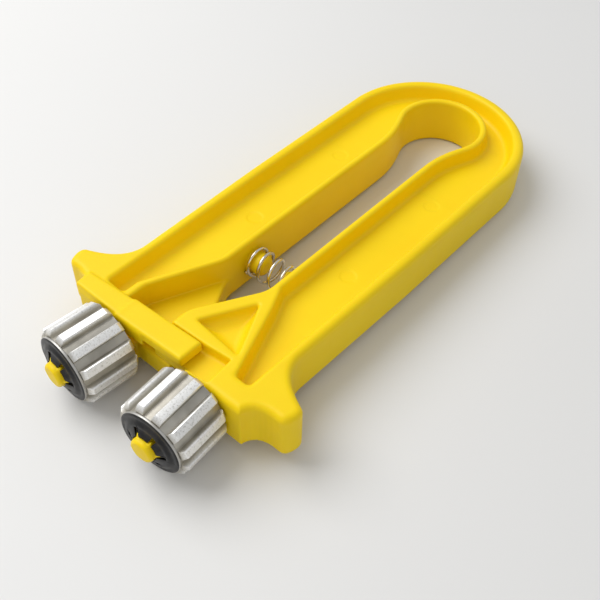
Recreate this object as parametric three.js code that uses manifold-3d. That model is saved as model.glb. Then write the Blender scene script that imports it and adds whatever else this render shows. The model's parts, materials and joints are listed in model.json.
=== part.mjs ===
// Beekeeper's frame-wire crimper: one sprung U-shaped handle moulding that carries two toothed
// crimping wheels on axle pins. Millimetres, +Z up. +Y points to the bow, the wheels are at -Y,
// +X is the right arm. The wheels' lowest points are at Z = 0.
import * as THREE from 'three';
import { mergeVertices } from 'three/addons/utils/BufferGeometryUtils.js';
import Module from 'manifold-3d';

const wasm = await Module();
wasm.setup();

// Overall
const LENGTH = 136;
const REAR_Y = LENGTH / 2;
const GAP = 0.3;

// Wheels
const TIP_R = 9.15;
const TEETH = 12;
const PITCH = (2 * Math.PI) / TEETH;
const GROOVE_DEPTH = 1.5;
const LAND_WIDTH = 1.75;
const LAND_SHOULDER = 0.2;
const LAND_ROUND = 0.3;
const GROOVE_FLOOR = 1.8;
const WHEEL_LENGTH = 12.4;
const WHEEL_CHAMFER = 0.9;
const RIGHT_PHASE = THREE.MathUtils.degToRad(15.8);
const LEFT_PHASE = PITCH / 2 - RIGHT_PHASE;
const WHEEL_X = 12.75;
const RIGHT_TOE = THREE.MathUtils.degToRad(4.2);
const LEFT_TOE = THREE.MathUtils.degToRad(4.4);

// Handle section
const MID_Z = TIP_R;
const THICK = 12.5;
const TOP_Z = MID_Z + THICK / 2;
const LOW_Z = MID_Z - THICK / 2;
const EDGE_R = 1.1;
const CHANNEL_DEPTH = 4.2;
const PLATE_GAP = 0.4;

// Handle plan, right-hand half
const HALF_WIDTH = 24.3;
const FRONT_HALF_WIDTH = 23.6;
const STRAIGHT_END_Y = 4;
const EAR_START_Y = -33;
const SLOT_X = 6.4;
const SPLIT_Y = 28;
const SPLIT_OVERLAP = 4;
const FRONT_Y = -51.2;
const CORNER_X = 24;
const EAR_X = 33.1;
const EAR_Y = -43;
const EAR_FRONT_Y = EAR_Y - 4.3;
const FLARE_X = 23.8;
const BOW_Y = REAR_Y - HALF_WIDTH;
const KEYHOLE_R = 10;
const CROWN_WALL = 8.8;
const KEYHOLE_Y = REAR_Y - CROWN_WALL - KEYHOLE_R;
const NECK_Y = 32.6;
const NECK_DROP = 3.1;

// Channels in both faces of the handle
const RIM = 2.2;
const OUTER_RIM = 3.5;
const CHANNEL_IN = SLOT_X + RIM;
const CHANNEL_OUT = HALF_WIDTH - OUTER_RIM;
const CHANNEL_END_Y = -45.2;
const CHANNEL_TURN_Y = -22.4;
const CHANNEL_BEND_X = 11.3;
const CHANNEL_BEND_Y = -27.4;
const CHANNEL_POINT_X = 17.6;
const CHANNEL_TIP_X = 20.3;
const CHANNEL_R = 0.9;
const FORK_CHANNEL_X = 16.2;
const FACE_CUT = 1;
const EJECTOR_R = 1.9;
const EJECTOR_DEPTH = 0.25;
const EJECTOR_X = 14.4;
const EJECTOR_YS = [25.6, -6.4];

// Overlapping guide plates near the wheels
const FORK_Y = -24.6;
const POCKET_CORNERS = [[7.9, -29.0], [1.9, -40.0], [13.6, -41.1]];
const POCKET_DEPTH = 3.2;
const POCKET_R = 1.3;
const PLATE_TIP_X = 2.2;
const PLATE_TIP_Y = -39.6;
const PLATE_FRONT_Y = -50.2;
const FORK_WALL_X = 13.9;
const FORK_WALL_Y = -40.8;
const FRONT_WALL_X = 9.7;
const FRONT_WALL_Y = -45.9;

// Guide tongue on the left arm and its recess in the right arm
const TONGUE_LEFT_X = -12;
const TONGUE_RIGHT_X = 7;
const TONGUE_DEPTH_Y = 6.1;
const TONGUE_MID_Y = -48.3;
const TONGUE_TURN = THREE.MathUtils.degToRad(2.8);
const TONGUE_THICK = 3;
const TONGUE_PROUD = 0.7;
const TONGUE_CLEAR = 0.4;
const LIP_RIGHT_X = -4.2;
const LIP_DEPTH_Y = 1.1;
const LIP_THICK = 4.4;
const BAND_CORNERS = [[-25.4, -46.7], [-24.9, -50.9], [-11, -50.9], [-11, -45.6]];
const BAND_R = 0.8;

// Squeeze hinge in the crown of the bow
const HINGE_Y = REAR_Y - CROWN_WALL / 2;
const SQUEEZE = THREE.MathUtils.degToRad(3.5);

// Axle pins, star washers, spring
const PIN_R = 2.9;
const BORE_R = 3.2;
const WHEEL_GAP = 0.9;
const WASHER_R = 7.7;
const WASHER_T = 0.5;
const WASHER_DISH = 0.35;
const TANGS = 6;
const TANG_R = PIN_R + GAP;
const SLOT_R = 4.2;
const TANG_SLOT = 0.9;
const PIN_LENGTH = 16.69;
const PIN_START = GAP + PIN_R * Math.tan(LEFT_TOE);
const PIN_TIP = 0.8;
const SPRING_Y = -15.3;
const WIRE_R = 0.4;
const COIL_R = 3.45;
const COILS = 5;
const PEG_R = 2.6;
const LEFT_PEG = 4.3;
const RIGHT_PEG = 3.2;
const PEG_DOME = 1.2;

function finish(color, roughness, metalness) {
  return new THREE.MeshStandardMaterial({ color, roughness, metalness });
}
const yellow = () => finish(0xf2cc05, 0.45, 0);
const alloy = () => finish(0xc9c5ba, 0.35, 1);
const blackSteel = () => finish(0x2a2a2c, 0.4, 1);
const nickel = () => finish(0xd6d2c8, 0.2, 1);

function solid(geometry) {
  geometry.deleteAttribute('normal');
  geometry.deleteAttribute('uv');
  const merged = mergeVertices(geometry, 1e-5);
  return new wasm.Manifold(new wasm.Mesh({
    numProp: 3,
    vertProperties: new Float32Array(merged.attributes.position.array),
    triVerts: new Uint32Array(merged.index.array),
  }));
}

function named(name, body, material, along = 0) {
  const mesh = body.getMesh();
  const geometry = new THREE.BufferGeometry();
  const positions = new Float32Array(mesh.vertProperties);
  geometry.setAttribute('position', new THREE.BufferAttribute(positions, 3));
  geometry.setIndex(new THREE.BufferAttribute(new Uint32Array(mesh.triVerts), 1));
  geometry.computeVertexNormals();
  const result = new THREE.Mesh(geometry, material);
  result.name = name;
  result.position.z = along;
  return result;
}

// A plan shape raised from z0 to z1, its edges rounded by r.
function prism(shape, z0, z1, r = 0, curveSegments = 8) {
  const geometry = new THREE.ExtrudeGeometry(shape, {
    depth: z1 - z0 - 2 * r,
    curveSegments,
    bevelEnabled: r > 0,
    bevelThickness: r,
    bevelSize: r,
    bevelOffset: -r,
    bevelSegments: 2,
  });
  geometry.translate(0, 0, z0 + r);
  return solid(geometry);
}

function block(x0, x1, y0, y1, z0, z1) {
  const geometry = new THREE.BoxGeometry(x1 - x0, y1 - y0, z1 - z0);
  geometry.translate((x0 + x1) / 2, (y0 + y1) / 2, (z0 + z1) / 2);
  return solid(geometry);
}

// A closed polygon whose corners are rounded by r.
function roundedShape(corners, r) {
  const shape = new THREE.Shape();
  const points = corners.map(([x, y]) => new THREE.Vector2(x, y));
  points.forEach((corner, i) => {
    const before = points[(i + points.length - 1) % points.length];
    const after = points[(i + 1) % points.length];
    const enter = before.clone().sub(corner).setLength(r).add(corner);
    const leave = after.clone().sub(corner).setLength(r).add(corner);
    if (i === 0) shape.moveTo(enter.x, enter.y);
    else shape.lineTo(enter.x, enter.y);
    shape.quadraticCurveTo(corner.x, corner.y, leave.x, leave.y);
  });
  shape.closePath();
  return shape;
}

// The outer side of an arm, from behind the split to the front corner.
function outerSide(shape, s) {
  shape.lineTo(s * HALF_WIDTH, STRAIGHT_END_Y);
  shape.lineTo(s * FRONT_HALF_WIDTH, EAR_START_Y);
  const backX = s * (EAR_X - 1);
  const tipX = s * (EAR_X - 0.4);
  shape.bezierCurveTo(s * FLARE_X, EAR_Y + 5, s * (EAR_X - 5), EAR_Y + 2.6, backX, EAR_Y + 0.9);
  shape.quadraticCurveTo(s * (EAR_X + 0.4), EAR_Y, tipX, EAR_Y - 2.4);
  shape.quadraticCurveTo(s * (EAR_X - 0.9), EAR_FRONT_Y, s * (EAR_X - 2.4), EAR_FRONT_Y);
  shape.quadraticCurveTo(s * (CORNER_X + 0.6), EAR_Y - 3.8, s * CORNER_X, FRONT_Y);
}

// Full-height body of one arm.
function coreShape(s) {
  const shape = new THREE.Shape();
  shape.moveTo(s * SLOT_X, SPLIT_Y + SPLIT_OVERLAP);
  shape.lineTo(s * HALF_WIDTH, SPLIT_Y + SPLIT_OVERLAP);
  outerSide(shape, s);
  shape.lineTo(s * FRONT_WALL_X, FRONT_Y);
  shape.lineTo(s * FRONT_WALL_X, FRONT_WALL_Y);
  shape.lineTo(s * FORK_WALL_X, FRONT_WALL_Y);
  shape.lineTo(s * FORK_WALL_X, FORK_WALL_Y);
  shape.lineTo(s * SLOT_X, FORK_Y + 0.6);
  shape.closePath();
  return shape;
}

// Half-height guide plate that reaches across the slot from one arm.
function plateShape(s) {
  const shape = new THREE.Shape();
  shape.moveTo(s * SLOT_X, SPLIT_Y + SPLIT_OVERLAP);
  shape.lineTo(s * HALF_WIDTH, SPLIT_Y + SPLIT_OVERLAP);
  outerSide(shape, s);
  shape.lineTo(s * (FRONT_WALL_X - 1), FRONT_Y);
  shape.lineTo(s * (FRONT_WALL_X - 1.8), PLATE_FRONT_Y);
  shape.lineTo(-s * PLATE_TIP_X, PLATE_FRONT_Y);
  shape.lineTo(-s * PLATE_TIP_X, PLATE_TIP_Y - 0.8);
  const softX = -s * (PLATE_TIP_X - 0.6);
  shape.quadraticCurveTo(-s * PLATE_TIP_X, PLATE_TIP_Y, softX, PLATE_TIP_Y + 0.9);
  shape.lineTo(s * SLOT_X, FORK_Y);
  shape.closePath();
  return shape;
}

// Channel on the face that carries the guide plate.
function plateSideChannel(s) {
  return roundedShape([
    [s * CHANNEL_IN, SPLIT_Y + 2 * SPLIT_OVERLAP],
    [s * CHANNEL_IN, CHANNEL_TURN_Y],
    [s * CHANNEL_BEND_X, CHANNEL_BEND_Y],
    [s * CHANNEL_POINT_X, CHANNEL_END_Y - 1],
    [s * CHANNEL_TIP_X, CHANNEL_END_Y - 0.2],
    [s * (CHANNEL_OUT - 0.2), EAR_START_Y],
    [s * CHANNEL_OUT, SPLIT_Y + 2 * SPLIT_OVERLAP],
  ], CHANNEL_R);
}

// Channel on the face where the other arm's plate slides.
function forkSideChannel(s) {
  return roundedShape([
    [s * CHANNEL_IN, SPLIT_Y + 2 * SPLIT_OVERLAP],
    [s * CHANNEL_IN, CHANNEL_TURN_Y - 2],
    [s * FORK_CHANNEL_X, FORK_WALL_Y],
    [s * FORK_CHANNEL_X, CHANNEL_END_Y],
    [s * (CHANNEL_OUT - 0.2), CHANNEL_END_Y],
    [s * CHANNEL_OUT, SPLIT_Y + 2 * SPLIT_OVERLAP],
  ], CHANNEL_R);
}

// Triangular pocket in the guide plate.
function pocketShape(s) {
  return roundedShape(POCKET_CORNERS.map(([x, y]) => [s * x, y]), POCKET_R);
}

function ejectorMarks(s, z) {
  return EJECTOR_YS.map((y) => {
    const shape = new THREE.Shape();
    shape.absarc(s * EJECTOR_X, y, EJECTOR_R, 0, 2 * Math.PI);
    return prism(shape, z - EJECTOR_DEPTH, z + EJECTOR_DEPTH, 0, 4);
  });
}

// up = 1: the plate and pocket are in the upper half; up = -1: in the lower half.
function armBody(s, up) {
  const flip = (z) => MID_Z + up * (z - MID_Z);
  const layer = (shape, za, zb, r) => {
    const [z0, z1] = [flip(za), flip(zb)].sort((a, b) => a - b);
    return prism(shape, z0, z1, r);
  };
  let body = prism(coreShape(s), LOW_Z, TOP_Z, EDGE_R);
  body = body.add(layer(plateShape(s), MID_Z + PLATE_GAP / 2, TOP_Z, EDGE_R));
  body = body.subtract(layer(plateSideChannel(s), TOP_Z - CHANNEL_DEPTH, TOP_Z + FACE_CUT, 0));
  body = body.subtract(layer(forkSideChannel(s), LOW_Z - FACE_CUT, LOW_Z + CHANNEL_DEPTH, 0));
  body = body.subtract(layer(pocketShape(s), TOP_Z - POCKET_DEPTH, TOP_Z + FACE_CUT, 0));
  ejectorMarks(s, TOP_Z - CHANNEL_DEPTH).forEach((mark) => { body = body.subtract(mark); });
  const front = block(-60, 60, -80, SPLIT_Y - GAP / 2, LOW_Z - 5, TOP_Z + 5);
  return body.intersect(front);
}

// Domed peg on the slot wall that the spring sits on.
function peg(s, length) {
  const profile = new THREE.Path();
  profile.moveTo(0, -1);
  profile.lineTo(PEG_R, -1);
  profile.lineTo(PEG_R, length - PEG_DOME);
  profile.quadraticCurveTo(PEG_R, length, PEG_R - PEG_DOME, length);
  profile.lineTo(0, length);
  const geometry = new THREE.LatheGeometry(profile.getPoints(3), 20);
  geometry.rotateZ(s * Math.PI / 2);
  geometry.translate(s * SLOT_X, SPRING_Y, MID_Z);
  return solid(geometry);
}

function tongueCorners(grow) {
  const half = TONGUE_DEPTH_Y / 2 + grow;
  const left = TONGUE_LEFT_X - grow;
  const right = TONGUE_RIGHT_X + grow;
  const rise = Math.tan(TONGUE_TURN);
  const at = (x, side) => [x, TONGUE_MID_Y + rise * (x - TONGUE_LEFT_X) + side * half];
  return [at(left, -1), at(right, -1), at(right, 1), at(left, 1)];
}

function leftArm() {
  let body = armBody(-1, -1).add(peg(-1, LEFT_PEG));
  const top = TOP_Z + TONGUE_PROUD;
  body = body.add(prism(roundedShape(tongueCorners(0), 1), top - TONGUE_THICK, top, 0.4, 3));
  const lipY = FRONT_Y - 0.2;
  const lip = block(TONGUE_LEFT_X, LIP_RIGHT_X, lipY, lipY + LIP_DEPTH_Y, top - LIP_THICK, top - 1);
  const root = block(TONGUE_LEFT_X - 1, TONGUE_LEFT_X + 2, FRONT_Y, FRONT_WALL_Y, MID_Z, top - 1);
  body = body.add(lip).add(root);
  const band = roundedShape(BAND_CORNERS, BAND_R);
  return body.add(prism(band, TOP_Z - 2, top, 0, 3));
}

function rightArm() {
  let body = armBody(1, 1).add(peg(1, RIGHT_PEG));
  const floor = TOP_Z + TONGUE_PROUD - TONGUE_THICK - TONGUE_CLEAR;
  const corners = tongueCorners(TONGUE_CLEAR);
  const swung = corners.map(([x, y]) => {
    const c = Math.cos(SQUEEZE);
    const w = Math.sin(SQUEEZE);
    return [c * x - w * (y - HINGE_Y), w * x + c * (y - HINGE_Y) + HINGE_Y];
  });
  const room = roundedShape([corners[0], corners[1], swung[1], swung[2], corners[2], corners[3]], 1.2);
  return body.subtract(prism(room, floor, TOP_Z + 3, 0, 4));
}

function bow() {
  const shape = new THREE.Shape();
  shape.moveTo(HALF_WIDTH, SPLIT_Y - SPLIT_OVERLAP);
  shape.lineTo(HALF_WIDTH, BOW_Y);
  shape.absarc(0, BOW_Y, HALF_WIDTH, 0, Math.PI);
  shape.lineTo(-HALF_WIDTH, SPLIT_Y - SPLIT_OVERLAP);
  shape.lineTo(-SLOT_X, SPLIT_Y - SPLIT_OVERLAP);
  const leave = Math.asin(NECK_DROP / KEYHOLE_R);
  const lx = KEYHOLE_R * Math.cos(leave);
  const ly = KEYHOLE_Y - NECK_DROP;
  shape.lineTo(-SLOT_X, NECK_Y);
  shape.bezierCurveTo(-SLOT_X, NECK_Y + 6, -lx + 1.6, ly - 4.2, -lx, ly);
  shape.absarc(0, KEYHOLE_Y, KEYHOLE_R, Math.PI + leave, -leave, true);
  shape.bezierCurveTo(lx - 1.6, ly - 4.2, SLOT_X, NECK_Y + 6, SLOT_X, NECK_Y);
  shape.lineTo(SLOT_X, SPLIT_Y - SPLIT_OVERLAP);
  shape.closePath();

  const rimR = KEYHOLE_R + RIM - 0.2;
  const outR = CHANNEL_OUT;
  const channel = new THREE.Shape();
  channel.moveTo(outR, SPLIT_Y - 2 * SPLIT_OVERLAP);
  channel.lineTo(outR, BOW_Y);
  channel.absarc(0, BOW_Y, outR, 0, Math.PI);
  channel.lineTo(-outR, SPLIT_Y - 2 * SPLIT_OVERLAP);
  channel.lineTo(-CHANNEL_IN, SPLIT_Y - 2 * SPLIT_OVERLAP);
  channel.lineTo(-CHANNEL_IN, NECK_Y);
  channel.bezierCurveTo(-CHANNEL_IN, NECK_Y + 5, -rimR + 0.9, ly - 4.2, -rimR, KEYHOLE_Y);
  channel.absarc(0, KEYHOLE_Y, rimR, Math.PI, 0, true);
  channel.bezierCurveTo(rimR - 0.9, ly - 4.2, CHANNEL_IN, NECK_Y + 5, CHANNEL_IN, NECK_Y);
  channel.lineTo(CHANNEL_IN, SPLIT_Y - 2 * SPLIT_OVERLAP);
  channel.closePath();

  let body = prism(shape, LOW_Z, TOP_Z, EDGE_R, 20);
  body = body.subtract(prism(channel, TOP_Z - CHANNEL_DEPTH, TOP_Z + FACE_CUT, 0, 20));
  body = body.subtract(prism(channel, LOW_Z - FACE_CUT, LOW_Z + CHANNEL_DEPTH, 0, 20));
  return body.intersect(block(-60, 60, SPLIT_Y + GAP / 2, 80, LOW_Z - 5, TOP_Z + 5));
}

// Each axle is a group whose +Z runs forward from the arm's front face; its pieces sit on that line.
function axle(s, toe, pieces) {
  const result = new THREE.Group();
  result.rotation.set(Math.PI / 2, s * toe, 0);
  const root = s * (WHEEL_X - Math.tan(toe) * (WHEEL_GAP + WHEEL_LENGTH / 2));
  result.position.set(root, FRONT_Y, MID_Z);
  result.add(...pieces);
  return result;
}

function turned(points, segments) {
  const geometry = new THREE.LatheGeometry(points.map(([r, z]) => new THREE.Vector2(r, z)), segments);
  geometry.rotateX(Math.PI / 2);
  return solid(geometry);
}

function axlePin() {
  return turned([
    [0, PIN_START],
    [PIN_R, PIN_START],
    [PIN_R, PIN_LENGTH - PIN_TIP],
    [PIN_R - PIN_TIP, PIN_LENGTH],
    [0, PIN_LENGTH],
  ], 32);
}

function wheel(phase) {
  const shape = new THREE.Shape();
  const floorR = TIP_R - GROOVE_DEPTH;
  const land = LAND_WIDTH / TIP_R / 2;
  const shoulder = LAND_SHOULDER / TIP_R;
  const floor = GROOVE_FLOOR / floorR / 2;
  const at = (r, a) => [r * Math.cos(a), r * Math.sin(a)];
  for (let i = 0; i < TEETH; i += 1) {
    const a = phase + i * PITCH;
    const points = [
      at(TIP_R - LAND_ROUND, a - land - shoulder),
      at(TIP_R, a - land),
      at(TIP_R, a),
      at(TIP_R, a + land),
      at(TIP_R - LAND_ROUND, a + land + shoulder),
      at(floorR, a + PITCH / 2 - floor),
      at(floorR, a + PITCH / 2 + floor),
    ];
    points.forEach(([x, y], k) => {
      if (i === 0 && k === 0) shape.moveTo(x, y);
      else shape.lineTo(x, y);
    });
  }
  shape.closePath();
  const blank = turned([
    [0, 0],
    [TIP_R - WHEEL_CHAMFER, 0],
    [TIP_R + 0.1, WHEEL_CHAMFER],
    [TIP_R + 0.1, WHEEL_LENGTH - WHEEL_CHAMFER],
    [TIP_R - WHEEL_CHAMFER, WHEEL_LENGTH],
    [0, WHEEL_LENGTH],
  ], 48);
  const bore = turned([[0, -1], [BORE_R, -1], [BORE_R, WHEEL_LENGTH + 1], [0, WHEEL_LENGTH + 1]], 32);
  return prism(shape, 0, WHEEL_LENGTH).intersect(blank).subtract(bore);
}

// Dished push-on washer with springy tangs that bite the pin.
function starWasher() {
  const rise = WASHER_DISH;
  let body = turned([
    [TANG_R, rise],
    [WASHER_R - 1.4, rise],
    [WASHER_R, 0],
    [WASHER_R, WASHER_T],
    [WASHER_R - 1.2, rise + WASHER_T],
    [TANG_R, rise + WASHER_T],
    [TANG_R, rise],
  ], 36);
  for (let i = 0; i < TANGS; i += 1) {
    const geometry = new THREE.BoxGeometry(SLOT_R, TANG_SLOT, 3);
    geometry.translate(SLOT_R / 2, 0, 0);
    geometry.rotateZ((i * 2 * Math.PI) / TANGS);
    body = body.subtract(solid(geometry));
  }
  return body;
}

class CoilPath extends THREE.Curve {
  getPoint(t, target = new THREE.Vector3()) {
    const turns = t * COILS;
    const half = SLOT_X - GAP - WIRE_R;
    const closed = 2 * WIRE_R + 0.12;
    const open = (2 * half - 2 * closed) / (COILS - 2);
    const start = Math.min(turns, 1) * closed;
    const middle = Math.min(Math.max(turns - 1, 0), COILS - 2) * open;
    const end = Math.max(turns - COILS + 1, 0) * closed;
    const a = turns * 2 * Math.PI;
    const x = -half + start + middle + end;
    return target.set(x, SPRING_Y + COIL_R * Math.cos(a), MID_Z + COIL_R * Math.sin(a));
  }
}

function coilSpring() {
  const section = new THREE.Shape();
  section.absarc(0, 0, WIRE_R, 0, 2 * Math.PI);
  return solid(new THREE.ExtrudeGeometry(section, {
    steps: 16 * COILS,
    curveSegments: 4,
    bevelEnabled: false,
    extrudePath: new CoilPath(),
  }));
}

const wheelAt = WHEEL_GAP;
const washerAt = WHEEL_GAP + WHEEL_LENGTH + GAP;
const group = new THREE.Group();
group.name = 'frame_wire_crimper';
group.add(
  named('left_arm', leftArm(), yellow()),
  named('bow', bow(), yellow()),
  named('right_arm', rightArm(), yellow()),
  named('coil_spring', coilSpring(), nickel()),
  axle(-1, LEFT_TOE, [
    named('left_axle_pin', axlePin(), yellow()),
    named('left_wheel', wheel(LEFT_PHASE), alloy(), wheelAt),
    named('left_star_washer', starWasher(), blackSteel(), washerAt),
  ]),
  axle(1, RIGHT_TOE, [
    named('right_axle_pin', axlePin(), yellow()),
    named('right_wheel', wheel(RIGHT_PHASE), alloy(), wheelAt),
    named('right_star_washer', starWasher(), blackSteel(), washerAt),
  ]),
);

export default group;
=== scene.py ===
"""Frame-wire crimper: moulded yellow spring handle, two toothed wheels on star-locked pins, coil spring.

Each arm of the handle and its bow is a smooth distance field of its own. All three are sampled on one lattice
and cut at one plane, so that their surfaces meet. Lengths in the design constants are millimetres; meshes are
written in metres in the frame's coordinates.
"""
import json
import math

import bmesh
import bpy
import numpy as np
from mathutils import Matrix, Vector


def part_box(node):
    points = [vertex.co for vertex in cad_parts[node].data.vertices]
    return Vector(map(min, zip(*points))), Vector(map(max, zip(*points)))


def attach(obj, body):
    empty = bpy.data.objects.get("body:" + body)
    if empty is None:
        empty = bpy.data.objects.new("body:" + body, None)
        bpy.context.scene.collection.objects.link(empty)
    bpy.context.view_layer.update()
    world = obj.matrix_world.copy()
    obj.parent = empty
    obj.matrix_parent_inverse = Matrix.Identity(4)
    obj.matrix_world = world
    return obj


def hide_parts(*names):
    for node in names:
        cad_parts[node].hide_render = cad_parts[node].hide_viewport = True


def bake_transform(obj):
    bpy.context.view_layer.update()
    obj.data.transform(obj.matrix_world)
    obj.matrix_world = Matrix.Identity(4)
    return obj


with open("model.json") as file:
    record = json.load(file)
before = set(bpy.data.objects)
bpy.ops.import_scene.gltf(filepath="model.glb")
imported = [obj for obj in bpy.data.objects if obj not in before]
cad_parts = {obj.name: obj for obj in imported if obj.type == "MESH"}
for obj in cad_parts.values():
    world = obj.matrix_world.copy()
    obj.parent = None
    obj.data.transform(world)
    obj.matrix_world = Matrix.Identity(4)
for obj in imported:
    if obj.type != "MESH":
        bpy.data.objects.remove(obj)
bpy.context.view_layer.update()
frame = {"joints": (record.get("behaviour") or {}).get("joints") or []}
MM = 0.001


def box_mm(node):
    low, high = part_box(node)
    return np.array(low) / MM, np.array(high) / MM


JOINTS = {j["name"]: j for j in frame["joints"]}
BOW_LOW, BOW_HIGH = box_mm("bow")
LEFT_HIGH = box_mm("left_arm")[1]

# Handle section
LOW_Z, TOP_Z = BOW_LOW[2], BOW_HIGH[2]
MID_Z = (LOW_Z + TOP_Z) / 2
OUTER_EDGE_R = 1.5
SLOT_EDGE_R = 0.8
EDGE_R_RATE = 0.25
CHANNEL_DEPTH = 4.2
FLOOR_R = 1.0
RIM_SOFT = 0.9
PLATE_GAP = 0.4
CUT_PAST_FACE = 30
CUT_PAST_FRONT = 9

# Handle plan, right-hand half
REAR_Y = BOW_HIGH[1]
HALF_WIDTH = BOW_HIGH[0]
FRONT_HALF_WIDTH = 23.6
STRAIGHT_END_Y = 4
EAR_START_Y = -33
SLOT_X = 6.4
SPLIT_Y = (BOW_LOW[1] + LEFT_HIGH[1]) / 2
SPLIT_PAST = 8
SPLIT_MARGIN = 3
FRONT_Y = -51.2
CORNER_X = 24
EAR_X = 33.1
EAR_Y = -43
EAR_ROOT_X = 23.8
BOW_Y = REAR_Y - HALF_WIDTH
KEYHOLE_R = 10
CROWN_WALL = 8.8
KEYHOLE_Y = REAR_Y - CROWN_WALL - KEYHOLE_R
NECK_DROP = 3.1
NECK_Y = 32.6
NECK_LEAVE = 6
NECK_LEAVE_PER_RIM = 0.4
NECK_ARRIVE = (1.6, 4.2)

# Channels
RIM = 2.0
OUTER_RIM = 3.8
INNER_DRAFT = 0.06
OUTER_DRAFT = 0.26
CHANNEL_END_Y = -44.4
CHANNEL_FRONT_IN = 0.4
CHANNEL_CORNER_SOFT = 1.2
ISLAND_PLATE_X = 17.4
ISLAND_PLATE_BEND = (2.7, -27.4)
ISLAND_PLATE_Y = -21.5
ISLAND_FORK_X = 16.2
ISLAND_FORK_Y = -24.0
EJECTOR_R = 1.9
EJECTOR_DEPTH = 0.11
EJECTOR_SOFT = 0.15
EJECTOR_X = 14.4
EJECTOR_YS = (25.6, -6.4)

# Guide plates, tongue and recess
FORK_Y = -24.6
PLATE_TIP_X = 2.2
PLATE_TIP_Y = -39.6
PLATE_FRONT_Y = -49.7
FORK_WALL_X = 13.9
FORK_WALL_Y = -40.8
FRONT_WALL_X = 9.7
FRONT_WALL_Y = -45.9
POCKET_DEPTH = 3.2
POCKET_CORNERS = ((7.9, -29.0), (1.9, -40.0), (13.6, -41.1))
POCKET_R = 1.3
TONGUE_LEFT_X = -12
TONGUE_RIGHT_X = 7
TONGUE_WIDTH = 6.1
TONGUE_MID_Y = -48.3
TONGUE_TURN = math.radians(2.8)
TONGUE_THICK = 3
TONGUE_PROUD = 0.7
TONGUE_CLEAR = 0.4
TONGUE_TOP = TOP_Z + TONGUE_PROUD
TONGUE_EDGE_R = 0.7
TONGUE_FILLET = 0.35
RECESS_R = 0.5
LIP_RIGHT_X = -4.2
LIP_THICK = 4.4
LIP_OUT = 0.2
LIP_BELOW_TOP = 0.8
LIP_EDGE_R = 0.4
LIP_FILLET = 0.4
ROOT_PAST = 2
ROOT_EDGE_R = 0.3
BAND = ((-25.4, -46.7), (-24.9, -50.9), (-11, -50.9), (-11, -45.6))
BAND_FOOT = 2.2
BAND_BELOW_TOP = 0.1
BAND_EDGE_R = 0.45
BAND_FILLET = 0.5

# Wheels, washers, pins
TIP_R = 9.15
TEETH = 12
GROOVE_DEPTH = 1.5
LAND_WIDTH = 1.75
LAND_SHOULDER = 0.2
LAND_ROUND = 0.3
GROOVE_FLOOR = 1.8
WHEEL_LENGTH = 12.4
WHEEL_CHAMFER = 0.9
CHAMFER_STEPS = 4
WHEEL_BEVEL = 0.07
WHEEL_SHARP = math.radians(24)
BORE_R = 3.2
BORE_MOUTH = 0.35
RIGHT_PHASE = math.radians(15.8)
LEFT_PHASE = math.pi / TEETH - RIGHT_PHASE
PIN_R = 2.9
PIN_PAST_WHEEL = 3.3
PIN_ROOT = 1.1
PIN_DOME = 0.8
PIN_CORE_R = 1
PIN_CENTRE_R = 0.02
PIN_END_SHARE = 0.3
PIN_END_RISE = 0.05
PIN_STEPS = 144
WASHER_R = 7.7
WASHER_T = 0.45
WASHER_GAP = 0.3
WASHER_STEPS = 480
WASHER_RINGS = 16
WASHER_BEVEL = 0.1
WASHER_SHARP = math.radians(50)
CONE_RISE, CONE_FROM_R, CONE_WIDTH = 0.55, 6.6, 1.4
TANG_RISE, TANG_FROM_R, TANG_WIDTH = 0.75, 4.9, 1.9
RIM_DROP, RIM_FROM_R, RIM_WIDTH = 0.25, 7.2, 0.5
TANGS = 6
TANG_R = 3.05
SLOT_R = 4.9
SLOT_FROM, SLOT_RAMP = 0.70, 0.10
WAIST_DEPTH, WAIST_FROM, WAIST_RAMP = 0.10, 0.7, 0.5
POINT_OUT = 0.85
POINT_FROM = 0.62
POINT_SPAN = 0.38
POINT_TIP, POINT_TIP_RAMP = 1.0, 0.8

# Spring
SPRING_Y = -15.3
WIRE_R = 0.4
COIL_R = 3.45
COILS = 5
COIL_GAP = 0.1
COIL_START = math.radians(200)
COIL_STEPS = 36
WIRE_STEPS = 12
SPRING_END_GAP = 0.25
PEG_R = 2.6
PEG_DOME = 1.3
PEG_BURIED = 2
PEG_FILLET = 0.4
LEFT_PEG = 4.3
RIGHT_PEG = 3.2

# Sampling of the handle's distance fields
FIELD_MARGIN = 1.2
FRONT_MARGIN = 0.3
CELL = 0.33


# ---------------------------------------------------------------- curves and distance fields

def bezier(p0, p1, p2, p3, n=12):
    t = np.linspace(0, 1, n)[:, None]
    p0, p1, p2, p3 = (np.array(p, float) for p in (p0, p1, p2, p3))
    return (1 - t) ** 3 * p0 + 3 * (1 - t) ** 2 * t * p1 + 3 * (1 - t) * t ** 2 * p2 + t ** 3 * p3


def quad(p0, p1, p2, n=8):
    t = np.linspace(0, 1, n)[:, None]
    p0, p1, p2 = (np.array(p, float) for p in (p0, p1, p2))
    return (1 - t) ** 2 * p0 + 2 * (1 - t) * t * p1 + t ** 2 * p2


def arc(cx, cy, r, a0, a1, n=48):
    a = np.linspace(a0, a1, n)
    return np.c_[cx + r * np.cos(a), cy + r * np.sin(a)]


def path(*parts):
    return np.vstack([np.atleast_2d(np.array(p, float)) for p in parts])


def mirrored(points):
    return (points * [-1, 1])[::-1]


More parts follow.
